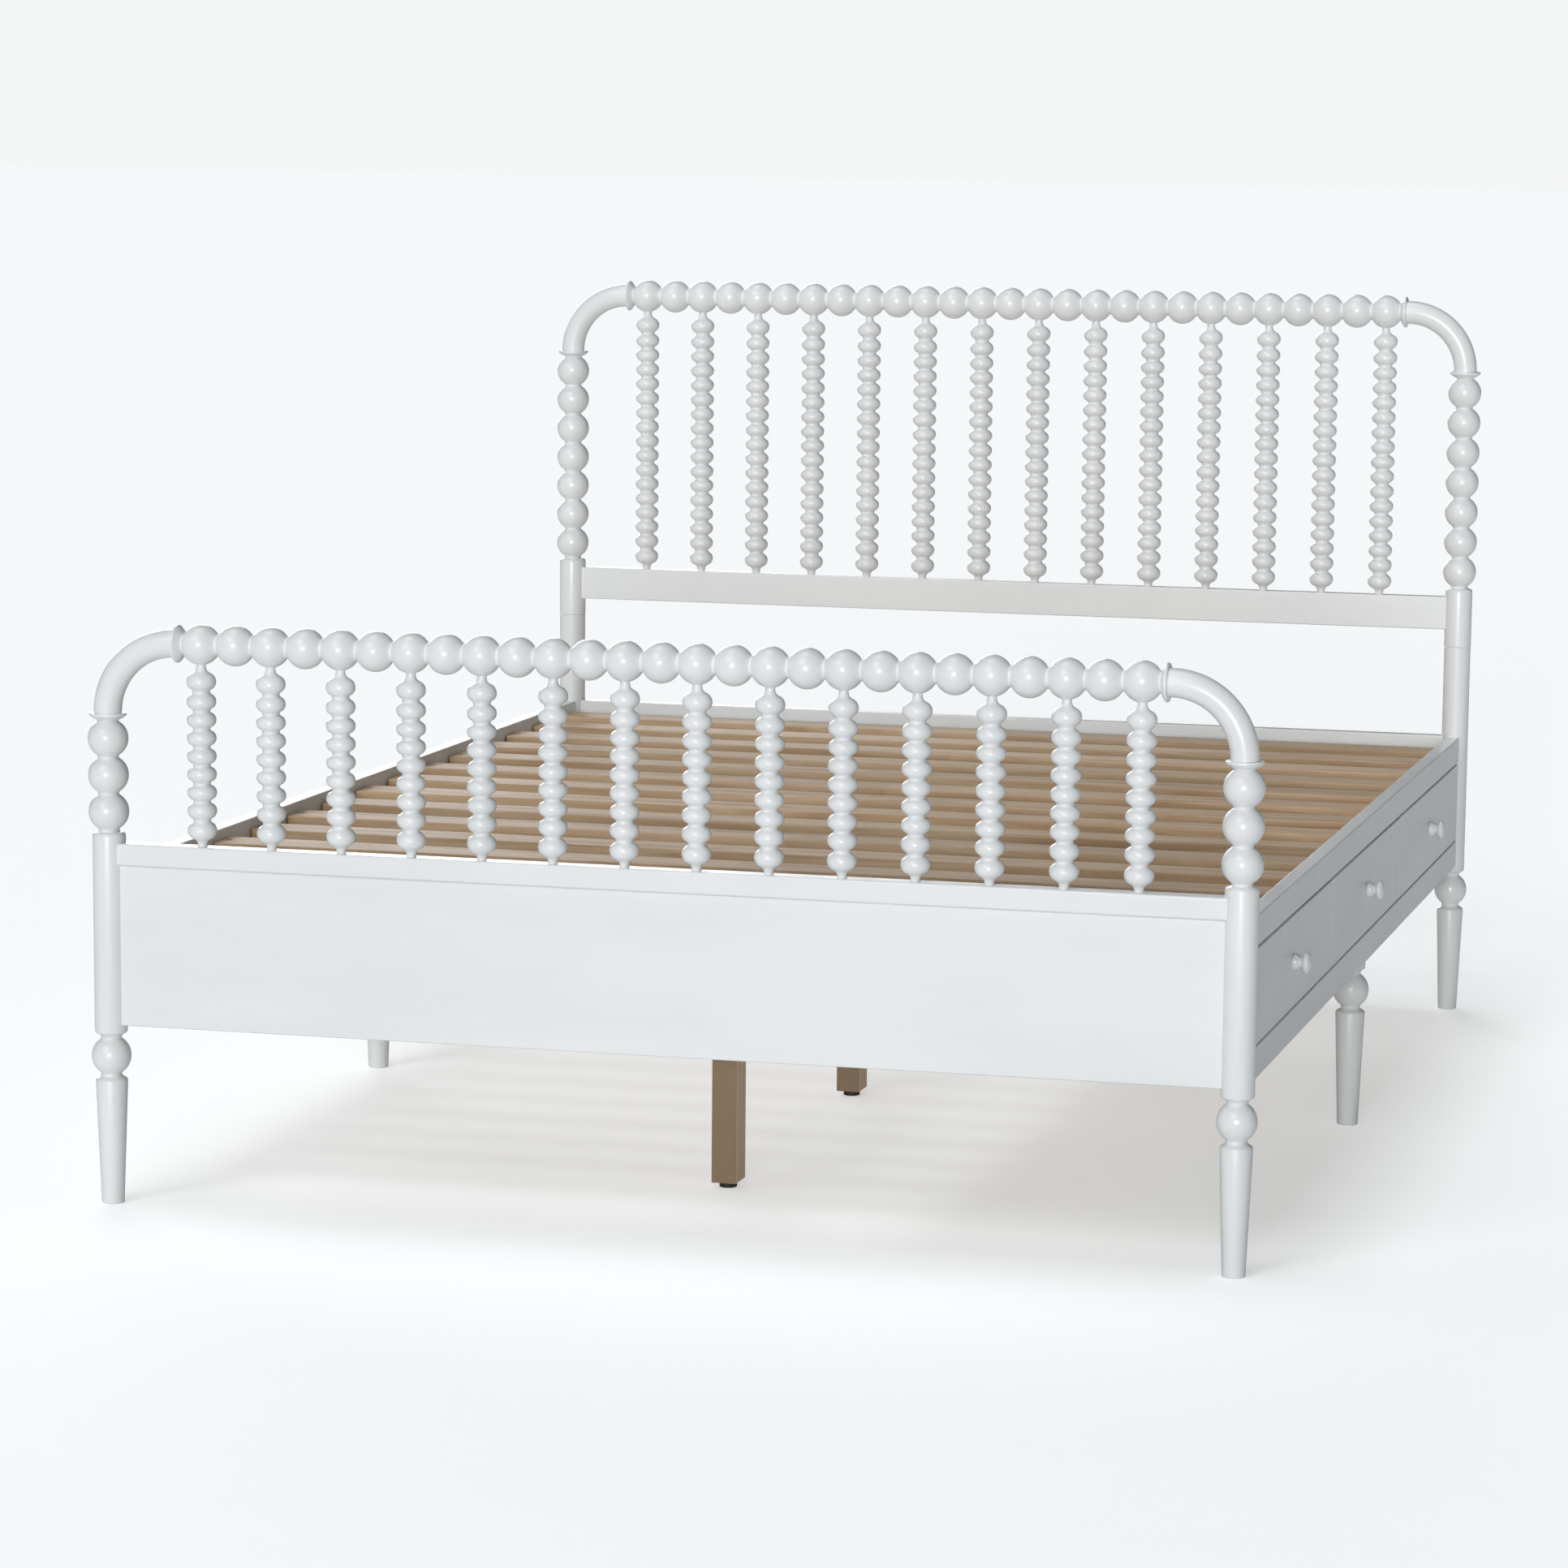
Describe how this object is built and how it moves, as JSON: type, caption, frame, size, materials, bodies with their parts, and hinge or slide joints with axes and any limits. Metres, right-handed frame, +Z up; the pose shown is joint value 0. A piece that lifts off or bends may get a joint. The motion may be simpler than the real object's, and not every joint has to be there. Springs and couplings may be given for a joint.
{
  "type": "wooden bed frame",
  "caption": "Spindle bed frame with bobbin-turned head and foot rails, turned legs, slatted base, and under-bed drawers on one side.",
  "frame": {"origin": "on the floor under the middle of the bed, at the foot of the middle centre leg", "axes": "+X across the bed to the side with the drawers, +Y along it to the headboard, +Z up"},
  "size_m": [1.6235, 2.145, 1.2045],
  "materials": {
    "painted_wood": "satin white paint on turned and planed wood",
    "slat_wood": "bare pine, planed",
    "laminated_wood": "bare laminated veneer, plies on the sides",
    "drawer_box_wood": "clear lacquered birch",
    "zinc_steel": "zinc plated",
    "black_plastic": "moulded, matte"
  },
  "bodies": {
    "bed": {"beam_hangers": "zinc_steel", "centre_beam": "slat_wood", "centre_leg_foot": "laminated_wood", "centre_leg_head": "laminated_wood", "centre_leg_middle": "laminated_wood", "corner_brackets": "zinc_steel", "dowels": "drawer_box_wood", "drawer_back_rail": "drawer_box_wood", "drawer_dividers": "drawer_box_wood", "drawer_runners": "drawer_box_wood", "drawer_side_bottom_rail": "painted_wood", "drawer_side_top_rail": "painted_wood", "drawer_stops": "drawer_box_wood", "foot_beaded_rail": "painted_wood", "foot_cap_rail": "painted_wood", "foot_elbow_left": "painted_wood", "foot_elbow_right": "painted_wood", "foot_panel": "painted_wood", "foot_post_left": "painted_wood", "foot_post_right": "painted_wood", "foot_spindles": "painted_wood", "frame_bolts": "zinc_steel", "glide_sockets": "zinc_steel", "hanger_bolts": "zinc_steel", "head_beaded_rail": "painted_wood", "head_cross_rail": "painted_wood", "head_elbow_left": "painted_wood", "head_elbow_right": "painted_wood", "head_end_rail": "painted_wood", "head_leg_left": "painted_wood", "head_leg_right": "painted_wood", "head_post_left": "painted_wood", "head_post_right": "painted_wood", "head_spindles": "painted_wood", "plain_side_rail": "painted_wood", "side_leg_left": "painted_wood", "side_leg_right": "painted_wood", "slat_ledgers": "slat_wood", "slat_screws": "zinc_steel", "slats": "slat_wood"},
    "drawer_foot": {"drawer_foot_front": "painted_wood", "drawer_foot_sides": "drawer_box_wood", "drawer_foot_back": "drawer_box_wood", "drawer_foot_bottom": "drawer_box_wood", "drawer_foot_knob": "painted_wood"},
    "drawer_middle": {"drawer_middle_front": "painted_wood", "drawer_middle_sides": "drawer_box_wood", "drawer_middle_back": "drawer_box_wood", "drawer_middle_bottom": "drawer_box_wood", "drawer_middle_knob": "painted_wood"},
    "drawer_head": {"drawer_head_front": "painted_wood", "drawer_head_sides": "drawer_box_wood", "drawer_head_back": "drawer_box_wood", "drawer_head_bottom": "drawer_box_wood", "drawer_head_knob": "painted_wood"},
    "glide_foot": {"centre_glide_foot": "black_plastic"},
    "glide_middle": {"centre_glide_middle": "black_plastic"},
    "glide_head": {"centre_glide_head": "black_plastic"}
  },
  "joints": [
    {"name": "drawer_foot_slide", "type": "slide", "parent": "bed", "child": "drawer_foot", "axis": [1, 0, 0], "range_m": [0, 0.34]},
    {"name": "drawer_middle_slide", "type": "slide", "parent": "bed", "child": "drawer_middle", "axis": [1, 0, 0], "range_m": [0, 0.34]},
    {"name": "drawer_head_slide", "type": "slide", "parent": "bed", "child": "drawer_head", "axis": [1, 0, 0], "range_m": [0, 0.34]},
    {"name": "glide_foot_screw", "type": "slide", "parent": "bed", "child": "glide_foot", "axis": [0, 0, -1], "range_m": [0, 0.01]},
    {"name": "glide_middle_screw", "type": "slide", "parent": "bed", "child": "glide_middle", "axis": [0, 0, -1], "range_m": [0, 0.01]},
    {"name": "glide_head_screw", "type": "slide", "parent": "bed", "child": "glide_head", "axis": [0, 0, -1], "range_m": [0, 0.01]}
  ]
}
